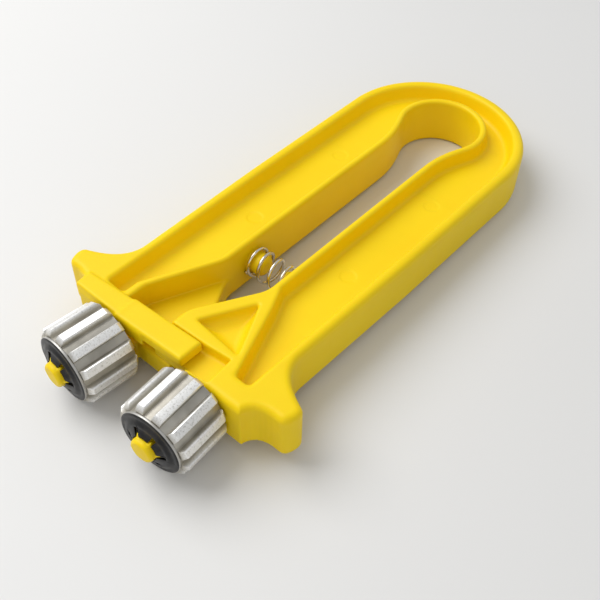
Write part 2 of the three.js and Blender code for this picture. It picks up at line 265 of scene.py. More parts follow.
def polygon_distance(points, x, y):
    """Signed distance to a closed polygon, negative inside."""
    ahead = np.roll(points, -1, axis=0)
    best = np.full(np.broadcast(x, y).shape, 1e9)
    inside = np.zeros(best.shape, bool)
    for (ax, ay), (bx, by) in zip(points, ahead):
        ex, ey = bx - ax, by - ay
        length = ex * ex + ey * ey
        if length < 1e-12:
            continue
        t = np.clip(((x - ax) * ex + (y - ay) * ey) / length, 0, 1)
        best = np.minimum(best, (x - ax - t * ex) ** 2 + (y - ay - t * ey) ** 2)
        if ay != by:
            crosses = (ay > y) != (by > y)
            inside ^= crosses & (x < ax + (y - ay) * ex / ey)
    return np.where(inside, -np.sqrt(best), np.sqrt(best))


def rounded_edge(dx, dz, r):
    """Distance to an edge rounded by r, from the distances to its two faces drawn in by r."""
    return np.minimum(np.maximum(dx, dz), 0) + np.hypot(np.maximum(dx, 0), np.maximum(dz, 0)) - r


def extrude(d, z, z0, z1, r):
    """A plan field raised from z0 to z1 with its top and bottom edges rounded by r."""
    d = d[:, :, None] if d.ndim == 2 else d
    return rounded_edge(d + r, np.abs(z - (z0 + z1) / 2) - (z1 - z0) / 2 + r, r)


def smooth_max(a, b, k):
    h = np.maximum(k - np.abs(a - b), 0) / k
    return np.maximum(a, b) + h * h * k / 4


def smooth_min(a, b, k):
    return -smooth_max(-a, -b, k)


def smoothstep(t):
    t = np.clip(t, 0, 1)
    return t * t * (3 - 2 * t)


def sample(field, at):
    """Trilinear value of a grid at points given in cells."""
    top = np.array(field.shape) - 2
    base = np.clip(np.floor(at).astype(int), 0, top)
    f = at - base
    total = 0
    for dx in (0, 1):
        for dy in (0, 1):
            for dz in (0, 1):
                wx = f[:, 0] if dx else 1 - f[:, 0]
                wy = f[:, 1] if dy else 1 - f[:, 1]
                wz = f[:, 2] if dz else 1 - f[:, 2]
                corner = field[base[:, 0] + dx, base[:, 1] + dy, base[:, 2] + dz]
                total = total + wx * wy * wz * corner
    return total


def surface(field):
    """Vertices (in cells) and quads of the zero surface of a grid, one vertex in each crossed cell."""
    inside = field < 0
    count = np.zeros(np.array(field.shape) - 1, np.int8)
    for dx in (0, 1):
        for dy in (0, 1):
            for dz in (0, 1):
                nx, ny, nz = count.shape
                count += inside[dx:nx + dx, dy:ny + dy, dz:nz + dz]
    cells = np.argwhere((count > 0) & (count < 8))
    total = np.zeros(cells.shape)
    hits = np.zeros(len(cells))
    for axis in range(3):
        others = [a for a in range(3) if a != axis]
        for p in (0, 1):
            for q in (0, 1):
                a = cells.copy()
                a[:, others[0]] += p
                a[:, others[1]] += q
                b = a.copy()
                b[:, axis] += 1
                va, vb = field[tuple(a.T)], field[tuple(b.T)]
                cut = (va < 0) != (vb < 0)
                t = np.where(cut, va / np.where(cut, va - vb, 1), 0)
                point = (a - cells).astype(float)
                point[:, axis] += t
                total += point * cut[:, None]
                hits += cut
    vertices = cells + total / hits[:, None]
    index = np.full(count.shape, -1)
    index[tuple(cells.T)] = np.arange(len(cells))
    quads = []
    for axis in range(3):
        u, v = (axis + 1) % 3, (axis + 2) % 3
        low = np.take(inside, range(field.shape[axis] - 1), axis)
        high = np.take(inside, range(1, field.shape[axis]), axis)
        for outward in (True, False):
            at = np.argwhere((low & ~high) if outward else (~low & high))
            keep = (at[:, u] > 0) & (at[:, v] > 0)
            keep &= (at[:, u] < index.shape[u]) & (at[:, v] < index.shape[v])
            at = at[keep]
            ring = []
            for du, dv in ((-1, -1), (0, -1), (0, 0), (-1, 0)):
                c = at.copy()
                c[:, u] += du
                c[:, v] += dv
                ring.append(index[tuple(c.T)])
            face = np.stack(ring, 1)
            quads.append(face if outward else face[:, ::-1])
    return vertices, np.vstack(quads)


class Field:
    """A distance grid over a box, in millimetres."""

    def __init__(self, low, high, cell):
        self.low, self.cell = np.array(low, float), cell
        n = np.ceil((np.array(high) - self.low) / cell).astype(int) + 1
        self.x = (self.low[0] + cell * np.arange(n[0]))[:, None]
        self.y = (self.low[1] + cell * np.arange(n[1]))[None, :]
        self.z = (self.low[2] + cell * np.arange(n[2]))[None, None, :]
        self.x3, self.y3 = self.x[:, :, None], self.y[:, :, None]

    def polygon(self, points):
        return polygon_distance(points, self.x, self.y)

    def mesh(self, values):
        """Points and quads of the zero surface, each point moved onto it along the field's gradient."""
        values = values.astype(np.float64)
        points, quads = surface(values)
        slope = np.gradient(values)
        for _ in range(2):
            g = np.stack([sample(s, points) for s in slope], 1)
            step = sample(values, points)[:, None] * g / np.maximum((g * g).sum(1), 1e-6)[:, None]
            points = points - np.clip(step, -0.5, 0.5)
        self.slope = slope
        return self.low + self.cell * points, quads

    def normals(self, points):
        """Unit gradient of the field last meshed, at points in millimetres."""
        at = (points - self.low) / self.cell
        g = np.stack([sample(s, at) for s in self.slope], 1)
        return g / np.maximum(np.linalg.norm(g, axis=1), 1e-9)[:, None]


# ---------------------------------------------------------------- objects

def new_object(name, points_mm, faces, smooth=True):
    mesh = bpy.data.meshes.new(name)
    mesh.from_pydata((np.asarray(points_mm) * MM).tolist(), [], [list(map(int, f)) for f in faces])
    mesh.validate()
    if smooth:
        mesh.shade_smooth()
    obj = bpy.data.objects.new(name, mesh)
    bpy.context.scene.collection.objects.link(obj)
    return obj


def recalculate(obj):
    bm = bmesh.new()
    bm.from_mesh(obj.data)
    bmesh.ops.recalc_face_normals(bm, faces=bm.faces)
    bm.to_mesh(obj.data)
    bm.free()


# ---------------------------------------------------------------- handle

def outer_side():
    """Right-hand outside, from the front corner to where the side runs straight."""
    corner = (CORNER_X, FRONT_Y)
    ear_front = (EAR_X - 2.4, EAR_Y - 4.3)
    ear_side = (EAR_X - 0.4, EAR_Y - 2.4)
    ear_back = (EAR_X - 1, EAR_Y + 0.9)
    return path(
        corner,
        quad(corner, (CORNER_X + 0.6, EAR_Y - 3.8), ear_front),
        quad(ear_front, (EAR_X - 0.9, EAR_Y - 4.3), ear_side),
        quad(ear_side, (EAR_X + 0.4, EAR_Y), ear_back),
        bezier(ear_back, (EAR_X - 5, EAR_Y + 2.6), (EAR_ROOT_X, EAR_Y + 5), (FRONT_HALF_WIDTH, EAR_START_Y)),
        (HALF_WIDTH, STRAIGHT_END_Y),
    )


def outer_outline():
    """The whole handle's outside, from the right front corner round the bow to the left one."""
    side = outer_side()
    return path(side, arc(0, BOW_Y, HALF_WIDTH, 0, math.pi, 96), mirrored(side))


def arm_outline(side, has_plate):
    """One arm's plan on one face, carried a little past the split."""
    edge = plate_edge() if has_plate else fork_edge()
    edge[0, 1] = FRONT_Y
    past = SPLIT_Y + SPLIT_PAST
    points = path(outer_side(), (HALF_WIDTH, past), (SLOT_X, past), edge[::-1])
    return points if side > 0 else mirrored(points)


def keyhole(rim=0.0):
    """From the right slot wall round the keyhole to the left one, offset outwards by rim."""
    wall, r = SLOT_X + rim, KEYHOLE_R + rim
    leave = math.asin(NECK_DROP / KEYHOLE_R)
    x, y = r * math.cos(leave), KEYHOLE_Y - r * math.sin(leave)
    leaving = (wall, NECK_Y + NECK_LEAVE - NECK_LEAVE_PER_RIM * rim)
    arriving = (x - NECK_ARRIVE[0], y - NECK_ARRIVE[1])
    neck = bezier((wall, NECK_Y), leaving, arriving, (x, y))
    return path(neck, arc(0, KEYHOLE_Y, r, -leave, math.pi + leave, 72), mirrored(neck))


def plate_edge():
    """Slot side of the arm that carries a guide plate, from the front to the slot wall (right arm)."""
    tip_start = (-PLATE_TIP_X, PLATE_TIP_Y - 1.4)
    tip_end = (-PLATE_TIP_X + 0.9, PLATE_TIP_Y + 1.6)
    return path(
        (FRONT_WALL_X - 1, FRONT_Y - CUT_PAST_FRONT),
        (FRONT_WALL_X - 1, FRONT_Y),
        (FRONT_WALL_X - 1.8, PLATE_FRONT_Y),
        (-PLATE_TIP_X, PLATE_FRONT_Y),
        quad(tip_start, (-PLATE_TIP_X, PLATE_TIP_Y), tip_end),
        quad((SLOT_X - 1.2, FORK_Y - 1.9), (SLOT_X, FORK_Y), (SLOT_X, FORK_Y + 2.2)),
    )


def fork_edge():
    """Slot side of the arm under or over the other arm's plate, from the front to the slot wall (right arm)."""
    corner_start = (FORK_WALL_X, FORK_WALL_Y - 1)
    corner_end = (FORK_WALL_X - 0.5, FORK_WALL_Y + 1)
    return path(
        (FRONT_WALL_X, FRONT_Y - CUT_PAST_FRONT),
        (FRONT_WALL_X, FRONT_WALL_Y),
        (FORK_WALL_X, FRONT_WALL_Y),
        quad(corner_start, (FORK_WALL_X, FORK_WALL_Y), corner_end),
        quad((SLOT_X + 0.8, FORK_Y - 1), (SLOT_X, FORK_Y + 0.6), (SLOT_X, FORK_Y + 2.6)),
    )


def slot_outline(plate_side):
    """The open space between the arms on the face whose plate is on plate_side (+1 right, -1 left)."""
    right = plate_edge() if plate_side > 0 else fork_edge()
    left = mirrored(fork_edge() if plate_side > 0 else plate_edge())
    return path(right, keyhole(), left)


def island_outline():
    """What the channel goes round on the face whose plate is on the right."""
    wall, front = SLOT_X + RIM, FRONT_Y - CUT_PAST_FRONT
    bend_x, bend_y = ISLAND_PLATE_BEND
    right = path(
        (ISLAND_PLATE_X, front), (ISLAND_PLATE_X, CHANNEL_END_Y), (wall + bend_x, bend_y), (wall, ISLAND_PLATE_Y),
    )
    left = mirrored(path((ISLAND_FORK_X, front), (ISLAND_FORK_X, FORK_WALL_Y - 0.5), (wall, ISLAND_FORK_Y)))
    return path(right, keyhole(RIM), left)


def channel_outline():
    """Outer wall of the channel, from its right front end round the bow to its left one."""
    wall = HALF_WIDTH - OUTER_RIM
    front_wall = wall - CHANNEL_FRONT_IN
    side = path((front_wall, CHANNEL_END_Y), (front_wall, EAR_START_Y), (wall, STRAIGHT_END_Y))
    return path(side, arc(0, BOW_Y, wall, 0, math.pi, 96), mirrored(side))


def tongue_corners(grow=0.0):
    """The tongue's four plan corners, offset outwards by grow."""
    half = TONGUE_WIDTH / 2 + grow
    left, right = TONGUE_LEFT_X - grow, TONGUE_RIGHT_X + grow
    middle = [TONGUE_MID_Y + math.tan(TONGUE_TURN) * (x - TONGUE_LEFT_X) for x in (left, right)]
    return np.array([
        (left, middle[0] - half), (right, middle[1] - half), (right, middle[1] + half), (left, middle[0] + half),
    ])


def recess_outline():
    """The room the tongue sweeps as the arms close."""
    squeeze = JOINTS["squeeze"]
    hinge = np.array(squeeze["pos_m"][:2]) / MM
    turn = math.radians(squeeze["range_deg"][1])
    c, s = math.cos(turn), math.sin(turn)
    corners = tongue_corners(TONGUE_CLEAR)
    swung = (corners - hinge) @ np.array([[c, s], [-s, c]]) + hinge
    return path(corners[0], corners[1], swung[1], swung[2], corners[2], corners[3])


def peg(f, side, length):
    """Spring peg with a domed end, standing length out from the slot wall of one arm."""
    along = SLOT_X - side * f.x3
    radial = np.hypot(f.y3 - SPRING_Y, f.z - MID_Z)
    half_buried = PEG_BURIED / 2
    end = np.abs(along - length / 2 + half_buried) - length / 2 - half_buried + PEG_DOME
    return rounded_edge(radial - PEG_R + PEG_DOME, end, PEG_DOME)


def cut_faces(f, body):
    """Take the channel, the pocket and the ejector marks out of both faces."""
    wall = f.polygon(channel_outline())[:, :, None]
    face = TOP_Z - MID_Z
    floor = face - CHANNEL_DEPTH
    pocket_floor = face - POCKET_DEPTH + POCKET_R
    for up in (1, -1):
        island = f.polygon(island_outline() * [up, 1])[:, :, None]
        height = up * (f.z - MID_Z)
        rise = height - floor
        plan = smooth_max(wall - OUTER_DRAFT * rise, -island - INNER_DRAFT * rise, CHANNEL_CORNER_SOFT)
        channel = extrude(plan, height, floor, floor + CUT_PAST_FACE, FLOOR_R)
        body = smooth_max(body, -channel, RIM_SOFT)
        corners = f.polygon(np.array(POCKET_CORNERS) * [up, 1])[:, :, None] - INNER_DRAFT * rise
        pocket = extrude(corners + POCKET_R, height, pocket_floor, face + CUT_PAST_FACE, POCKET_R) - POCKET_R
        body = smooth_max(body, -pocket, RIM_SOFT)
        for y in EJECTOR_YS:
            for hand in (-1, 1):
                mark = np.hypot(f.x - hand * EJECTOR_X, f.y - y)[:, :, None] - EJECTOR_R
                disc = np.maximum(mark, np.abs(height - floor) - EJECTOR_DEPTH)
                body = smooth_max(body, -disc, EJECTOR_SOFT)
    return body


def recess(f):
    """The cut in the right arm that the tongue moves in."""
    bottom = TONGUE_TOP - TONGUE_THICK - TONGUE_CLEAR
    return extrude(f.polygon(recess_outline()), f.z, bottom, TONGUE_TOP + CUT_PAST_FACE, RECESS_R)


def tongue(f):
    """The left arm's tongue, with the lip in front of it, its root and the band beside it."""
    bar = extrude(f.polygon(tongue_corners()), f.z, TONGUE_TOP - TONGUE_THICK, TONGUE_TOP, TONGUE_EDGE_R)
    lip_y = FRONT_Y - LIP_OUT
    lip_plan = f.polygon(np.array([
        (TONGUE_LEFT_X, lip_y), (LIP_RIGHT_X, lip_y + 0.3),
        (LIP_RIGHT_X, lip_y + 1.2), (TONGUE_LEFT_X, lip_y + 1.1),
    ]))
    lip = extrude(lip_plan, f.z, TONGUE_TOP - LIP_THICK, TONGUE_TOP - LIP_BELOW_TOP, LIP_EDGE_R)
    root_left, root_right = TONGUE_LEFT_X - ROOT_PAST, -FRONT_WALL_X
    root_plan = f.polygon(np.array([
        (root_left, FRONT_Y), (root_right, FRONT_Y), (root_right, FRONT_WALL_Y), (root_left, FRONT_WALL_Y),
    ]))
    root = extrude(root_plan, f.z, MID_Z, TONGUE_TOP - LIP_BELOW_TOP, ROOT_EDGE_R)
    band = extrude(f.polygon(np.array(BAND)), f.z, TOP_Z - BAND_FOOT, TONGUE_TOP - BAND_BELOW_TOP, BAND_EDGE_R)
    return smooth_min(smooth_min(bar, band, BAND_FILLET), np.minimum(lip, root), LIP_FILLET)


def handle_field(f, side):
    """side 1 is the right arm, -1 the left arm, 0 the bow."""
    outer = f.polygon(outer_outline())
    upper_slot = f.polygon(slot_outline(1))
    lower_slot = f.polygon(slot_outline(-1))
    if side:
        upper = f.polygon(arm_outline(side, side > 0))
        lower = f.polygon(arm_outline(side, side < 0))
    else:
        upper = np.maximum(outer, -upper_slot)
        lower = np.maximum(outer, -lower_slot)
    from_slot = np.minimum(np.abs(upper_slot), np.abs(lower_slot))
    near_slot = smoothstep(0.5 + (outer + from_slot) * -EDGE_R_RATE)
    edge_r = (OUTER_EDGE_R + (SLOT_EDGE_R - OUTER_EDGE_R) * near_slot)[:, :, None]

    body = extrude(np.maximum(upper, lower), f.z, LOW_Z, TOP_Z, edge_r)
    if side > 0:
        body = np.minimum(body, extrude(upper, f.z, MID_Z + PLATE_GAP / 2, TOP_Z, edge_r))
        body = smooth_min(body, peg(f, side, RIGHT_PEG), PEG_FILLET)
    if side < 0:
        body = np.minimum(body, extrude(lower, f.z, LOW_Z, MID_Z - PLATE_GAP / 2, edge_r))
        body = smooth_min(body, peg(f, side, LEFT_PEG), PEG_FILLET)
    body = cut_faces(f, body)
    if side > 0:
        body = smooth_max(body, -recess(f), RECESS_R)
    if side < 0:
        body = smooth_min(body, tongue(f), TONGUE_FILLET)
    return body


def build_handle_part(name, side, low, high):
    """Mesh of one arm or the bow, cut flat at the split and closed there."""
    f = Field(low, high, CELL)
    points, quads = f.mesh(handle_field(f, side))
    obj = new_object(name, points, quads)
    bm = bmesh.new()
    bm.from_mesh(obj.data)
    bmesh.ops.bisect_plane(
        bm, geom=bm.verts[:] + bm.edges[:] + bm.faces[:], dist=1e-7,
        plane_co=(0, SPLIT_Y * MM, 0), plane_no=(0, 1 if side else -1, 0), clear_outer=True,
    )
    bmesh.ops.holes_fill(bm, edges=[e for e in bm.edges if e.is_boundary], sides=0)
    bm.to_mesh(obj.data)
    bm.free()
    obj.data.shade_smooth()
    co = np.zeros(len(obj.data.vertices) * 3)
    obj.data.vertices.foreach_get("co", co)
    obj.data.normals_split_custom_set_from_vertices(f.normals(co.reshape(-1, 3) / MM).tolist())
    return obj


def build_handle():
    """Both arms and the bow, on one lattice so that their surfaces meet at the split."""
    low = np.array([
        -CELL * math.ceil((EAR_X + FIELD_MARGIN) / CELL),
        SPLIT_Y - CELL * math.ceil((SPLIT_Y - FRONT_Y + FIELD_MARGIN + FRONT_MARGIN) / CELL),
        MID_Z - CELL * math.ceil((MID_Z - LOW_Z + FIELD_MARGIN) / CELL),
    ])
    high = np.array([EAR_X + FIELD_MARGIN, REAR_Y + FIELD_MARGIN, TOP_Z + TONGUE_PROUD + FIELD_MARGIN])
    back = np.array([low[0], SPLIT_Y - CELL * math.ceil(SPLIT_MARGIN / CELL), low[2]])
    front = np.array([high[0], SPLIT_Y + SPLIT_MARGIN, high[2]])
    return {
        "handle_bow": build_handle_part("handle_bow", 0, back, high),
        "handle_left": build_handle_part("handle_left", -1, low, front),
        "handle_right": build_handle_part("handle_right", 1, low, front),
    }


# ---------------------------------------------------------------- axle pieces

def axle_matrix(joint_name):
    """Local +Z along the axle, local +Y up, origin at the wheel's middle."""
    joint = JOINTS[joint_name]
    forward = Vector(joint["axis"]).normalized()
    up = Vector((0, 0, 1))
    across = up.cross(forward)
    m = Matrix((across, up, forward)).transposed().to_4x4()
    m.translation = Vector(joint["pos_m"])
    return m


def wheel_outline(phase):
    """(radius, angle) round the toothed section, with extra points down the groove walls."""
    floor_r, shoulder_r = TIP_R - GROOVE_DEPTH, TIP_R - LAND_ROUND
    land, shoulder, floor = LAND_WIDTH / TIP_R / 2, LAND_SHOULDER / TIP_R, GROOVE_FLOOR / floor_r / 2
    pitch = 2 * math.pi / TEETH
    points = []
    for i in range(TEETH):
        a = phase + i * pitch
        crest = [(shoulder_r, a - land - shoulder)]
        crest += [(TIP_R, a + land * t) for t in np.linspace(-1, 1, 5)]
        crest += [(shoulder_r, a + land + shoulder)]
        valley = [(floor_r, a + pitch / 2 + floor * t) for t in np.linspace(-1, 1, 5)]
        points += crest + between(crest[-1], valley[0]) + valley
        points += between(valley[-1], (shoulder_r, a + pitch - land - shoulder))
    return points


def between(start, end, n=4):
    """Points on the straight line between two polar points, ends left out."""
    p, q = (np.array([r * math.cos(a), r * math.sin(a)]) for r, a in (start, end))
    line = [p + (q - p) * k / n for k in range(1, n)]
    turn = [math.atan2(y, x) for x, y in line]
    near = [a + 2 * math.pi * round((start[1] - a) / (2 * math.pi)) for a in turn]
    return [(float(np.hypot(*xy)), a) for xy, a in zip(line, near)]


def build_wheel(name, phase, matrix):
    """Toothed wheel with rounded end edges and a countersunk bore."""
    half = WHEEL_LENGTH / 2
    outline = wheel_outline(phase)
    n = len(outline)
    cut = [
        (WHEEL_CHAMFER * (1 - k / CHAMFER_STEPS), WHEEL_CHAMFER * k / CHAMFER_STEPS)
        for k in range(CHAMFER_STEPS + 1)
    ]
    levels = [(drop, -half + along) for drop, along in cut]
    levels += [(drop, half - along) for drop, along in cut[::-1]]
    rings = [[(min(r, TIP_R - drop), a, z) for r, a in outline] for drop, z in levels]
    mouth_r = BORE_R + BORE_MOUTH
    for r, z in ((mouth_r, half), (BORE_R, half - BORE_MOUTH), (BORE_R, BORE_MOUTH - half), (mouth_r, -half)):
        rings.append([(r, a, z) for _, a in outline])
    points = [(r * math.cos(a), r * math.sin(a), z) for ring in rings for r, a, z in ring]
    m = len(rings)
    faces = [
        (k * n + i, k * n + (i + 1) % n, (k + 1) % m * n + (i + 1) % n, (k + 1) % m * n + i)
        for k in range(m) for i in range(n)
    ]
    obj = new_object(name, points, faces)
    recalculate(obj)
    obj.data.set_sharp_from_angle(angle=WHEEL_SHARP)
    soften(obj, WHEEL_BEVEL, WHEEL_SHARP)
    obj.data.transform(matrix)
    return obj


def soften(obj, width, angle):
    """Bevel the edges sharper than angle."""
    bevel = obj.modifiers.new("edge", "BEVEL")
    bevel.width, bevel.segments, bevel.angle_limit = width * MM, 2, angle


def tang_offset(a):
    """0 on the middle line of a tang, 1 on that of the slot between two."""
    return abs((a * TANGS / (2 * math.pi)) % 1 - 0.5) * 2


def build_washer(name, matrix):
    """Dished spring disc: flat rim, cone, and tangs bent forward round the pin."""
    points = []
    for i in range(WASHER_STEPS):
        a = i * 2 * math.pi / WASHER_STEPS
        slot = smoothstep((tang_offset(a) - SLOT_FROM) / SLOT_RAMP)
        inner = TANG_R + (SLOT_R - TANG_R) * float(slot)
        row = []
        for j in range(WASHER_RINGS):
            s = j / (WASHER_RINGS - 1)
            r = inner + (WASHER_R - inner) * s
            lift = CONE_RISE * float(smoothstep((CONE_FROM_R - r) / CONE_WIDTH))
            lift += TANG_RISE * float(smoothstep((TANG_FROM_R - r) / TANG_WIDTH))
            lift -= RIM_DROP * float(smoothstep((r - RIM_FROM_R) / RIM_WIDTH))
            row.append((r * math.cos(a), r * math.sin(a), lift))
        points += [(x, y, z + WASHER_T) for x, y, z in row] + row[::-1]
    n = 2 * WASHER_RINGS
    faces = []
    for i in range(WASHER_STEPS):
        here, ahead = i * n, (i + 1) % WASHER_STEPS * n
        faces += [(here + j, ahead + j, ahead + (j + 1) % n, here + (j + 1) % n) for j in range(n)]
    base = WHEEL_LENGTH / 2 + WASHER_GAP
    obj = new_object(name, np.array(points) + [0, 0, base], faces)
    recalculate(obj)
    soften(obj, WASHER_BEVEL, WASHER_SHARP)
    obj.data.transform(matrix)
    return obj


def build_pin(name, matrix):
    """Round pin whose end bulges into a point between each pair of tangs."""
    half = WHEEL_LENGTH / 2
    start, tip = -half - PIN_ROOT, half + PIN_PAST_WHEEL
    grip, dome_z, dome_r = half + WASHER_GAP, tip - PIN_DOME, PIN_R - PIN_DOME
    steps = PIN_STEPS
    levels = [(PIN_CENTRE_R, start), (PIN_R, start), (PIN_R, grip), (PIN_R, grip + 0.9), (PIN_R, grip + 1.3)]
    levels += [(PIN_R, z) for z in np.linspace(grip + 1.6, dome_z, 4)]
    levels += [
        (dome_r + PIN_DOME * math.cos(t), dome_z + PIN_DOME * math.sin(t))
        for t in np.linspace(0.25, math.pi / 2, 6)
    ]
    levels += [(PIN_R * PIN_END_SHARE, tip + PIN_END_RISE), (PIN_CENTRE_R, tip + PIN_END_RISE)]
    points = []
    for r, z in levels:
        past_grip = float(smoothstep((z - grip - WAIST_FROM) / WAIST_RAMP))
        before_tip = float(smoothstep((tip - POINT_TIP - z) / POINT_TIP_RAMP))
        reach = POINT_OUT * (past_grip * before_tip)
        for i in range(steps):
            a = i * 2 * math.pi / steps
            out = r
            if r > PIN_CORE_R:
                off = tang_offset(a)
                waist = WAIST_DEPTH * past_grip * (1 - off)
                out = r - waist + reach * max(off - POINT_FROM, 0) / POINT_SPAN
            points.append((out * math.cos(a), out * math.sin(a), z))
    faces = [
        (k * steps + i, k * steps + (i + 1) % steps, (k + 1) * steps + (i + 1) % steps, (k + 1) * steps + i)
        for k in range(len(levels) - 1) for i in range(steps)
    ]
    last = (len(levels) - 1) * steps
    faces += [tuple(range(steps))[::-1], tuple(range(last, last + steps))]
    obj = new_object(name, points, faces)
    recalculate(obj)
    obj.data.transform(matrix)
    return obj


def build_spring():
    """Open coil between the slot walls, with its first and last turns closed."""
    half = SLOT_X - WIRE_R - SPRING_END_GAP
    closed = 2 * WIRE_R + COIL_GAP
    opened = (2 * half - 2 * closed) / (COILS - 2)
    per_turn, ring = COIL_STEPS, WIRE_STEPS
    steps = COILS * per_turn
    side = Vector((1, 0, 0))
    points = []
    for i in range(steps + 1):
        turns = i / per_turn
        along = min(turns, 1) * closed + min(max(turns - 1, 0), COILS - 2) * opened
        x = -half + along + max(turns - COILS + 1, 0) * closed
        a = 2 * math.pi * turns + COIL_START
        out = Vector((0, math.cos(a), math.sin(a)))
        centre = Vector((x, SPRING_Y, MID_Z)) + out * COIL_R
        for k in range(ring):
            b = 2 * math.pi * k / ring
            points.append(tuple(centre + (out * math.cos(b) + side * math.sin(b)) * WIRE_R))
    faces = [
        (i * ring + k, i * ring + (k + 1) % ring, (i + 1) * ring + (k + 1) % ring, (i + 1) * ring + k)
        for i in range(steps) for k in range(ring)
    ]
    faces += [tuple(range(ring)), tuple(range(steps * ring, (steps + 1) * ring))]
    obj = new_object("spring_wire", points, faces)
    recalculate(obj)
    return obj


# ---------------------------------------------------------------- materials

YELLOW_DEEP, YELLOW_PALE = (0.86, 0.600, 0.0, 1), (0.91, 0.645, 0.001, 1)
CREST_DULL, CREST_PALE, CREST_BRIGHT = (0.62, 0.60, 0.56, 1), (0.90, 0.89, 0.86, 1), (0.96, 0.95, 0.93, 1)
# The groove colours are painted shade: darker than the crests, standing in for the shade in the grooves and on the
# end faces. Their patchy tone is the metal's own.
GROOVE_SHADE_DARK, GROOVE_SHADE_PALE = (0.40, 0.375, 0.32, 1), (0.58, 0.55, 0.48, 1)
# The last steel colour is a painted highlight for the washer's outer edge.
STEEL_DARK, STEEL_WORN, STEEL_RIM_HIGHLIGHT = (0.018, 0.018, 0.019, 1), (0.075, 0.07, 0.066, 1), (0.62, 0.60, 0.56, 1)
WIRE_DULL, WIRE_BRIGHT = (0.50, 0.45, 0.37, 1), (0.80, 0.77, 0.71, 1)
FLOOR_DARK, FLOOR_PALE = (0.70, 0.69, 0.67, 1), (0.74, 0.73, 0.71, 1)
# Radii below the tip over which the painted groove shade gives way to the crest colour.
CREST_FROM, CREST_FULL = 1.1, 0.15
# Band in from the washer's edge that carries the painted highlight, and how far it goes.
RIM_HIGHLIGHT_FROM, RIM_HIGHLIGHT_FULL, RIM_HIGHLIGHT_MOST = 0.14, 0.04, 0.85


class Nodes:
    """Short way to write a node tree."""

    def __init__(self, name):
        self.material = bpy.data.materials.new(name)
        self.material.use_nodes = True
        self.tree = self.material.node_tree
        self.shader = self.tree.nodes["Principled BSDF"]
        self.where = self.add("ShaderNodeTexCoord").outputs["Object"]

    def add(self, kind, **inputs):
        node = self.tree.nodes.new(kind)
        for key, value in inputs.items():
            socket = node.inputs[key.replace("_", " ")]
            if isinstance(value, bpy.types.NodeSocket):
                self.tree.links.new(value, socket)
            else:
                socket.default_value = value
        return node

    def noise(self, scale, detail=4.0, rough=0.5):
        node = self.add("ShaderNodeTexNoise", Vector=self.where, Scale=scale, Detail=detail, Roughness=rough)
        return node.outputs["Fac"]

    def ramp(self, value, *stops):
        node = self.add("ShaderNodeValToRGB", Fac=value)
        elements = node.color_ramp.elements
        for element, (at, colour) in zip(elements, stops):
            element.position, element.color = at, colour
        for at, colour in stops[2:]:
            elements.new(at).color = colour
        return node.outputs["Color"]

    def span(self, value, low, high, start=0.0, end=1.0):
        """value taken from start..end to low..high."""
        node = self.add("ShaderNodeMapRange", Value=value)
        node.inputs["From Min"].default_value, node.inputs["From Max"].default_value = start, end
        node.inputs["To Min"].default_value, node.inputs["To Max"].default_value = low, high
        return node.outputs["Result"]

    def bump(self, height, distance, strength=1.0, onto=None):
        node = self.add("ShaderNodeBump", Height=height, Distance=distance, Strength=strength)
        if onto is not None:
            self.tree.links.new(onto, node.inputs["Normal"])
        return node.outputs["Normal"]

    def set(self, **inputs):
        for key, value in inputs.items():
            socket = self.shader.inputs[key.replace("_", " ")]
            if isinstance(value, bpy.types.NodeSocket):
                self.tree.links.new(value, socket)
            else:
                socket.default_value = value


def yellow_plastic():
    n = Nodes("yellow_plastic")
    cloud = n.noise(55.0, detail=3.0)
    grain = n.noise(2600.0, detail=2.0)
    n.set(Base_Color=n.ramp(cloud, (0.3, YELLOW_DEEP), (0.7, YELLOW_PALE)))
    n.set(Roughness=n.span(n.noise(900.0), low=0.40, high=0.52))
    n.set(Subsurface_Weight=0.12, Subsurface_Scale=0.0016, Subsurface_Radius=(1.0, 0.55, 0.04))
    n.set(IOR=1.49, Specular_IOR_Level=0.26)
    wave = n.bump(n.noise(120.0, detail=2.0), distance=0.00012, strength=0.35)
    n.set(Normal=n.bump(grain, distance=0.00002, strength=0.5, onto=wave))
    return n.material


def from_axle(n, matrix):
    """Distance of a surface point from the axle, in metres."""
    middle = n.add("ShaderNodeVectorMath")
    middle.operation = "SUBTRACT"
    n.tree.links.new(n.where, middle.inputs[0])
    middle.inputs[1].default_value = matrix.translation
    off = n.add("ShaderNodeVectorMath")
    off.operation = "CROSS_PRODUCT"
    n.tree.links.new(middle.outputs[0], off.inputs[0])
    off.inputs[1].default_value = matrix.col[2][:3]
    size = n.add("ShaderNodeVectorMath")
    size.operation = "LENGTH"
    n.tree.links.new(off.outputs[0], size.inputs[0])
    return size.outputs["Value"]


def mix(n, factor, a, b):
    node = n.add("ShaderNodeMix")
    node.data_type = "RGBA"
    for socket, value in ((node.inputs[0], factor), (node.inputs[6], a), (node.inputs[7], b)):
        if isinstance(value, bpy.types.NodeSocket):
            n.tree.links.new(value, socket)
        else:
            socket.default_value = value
    return node.outputs[2]


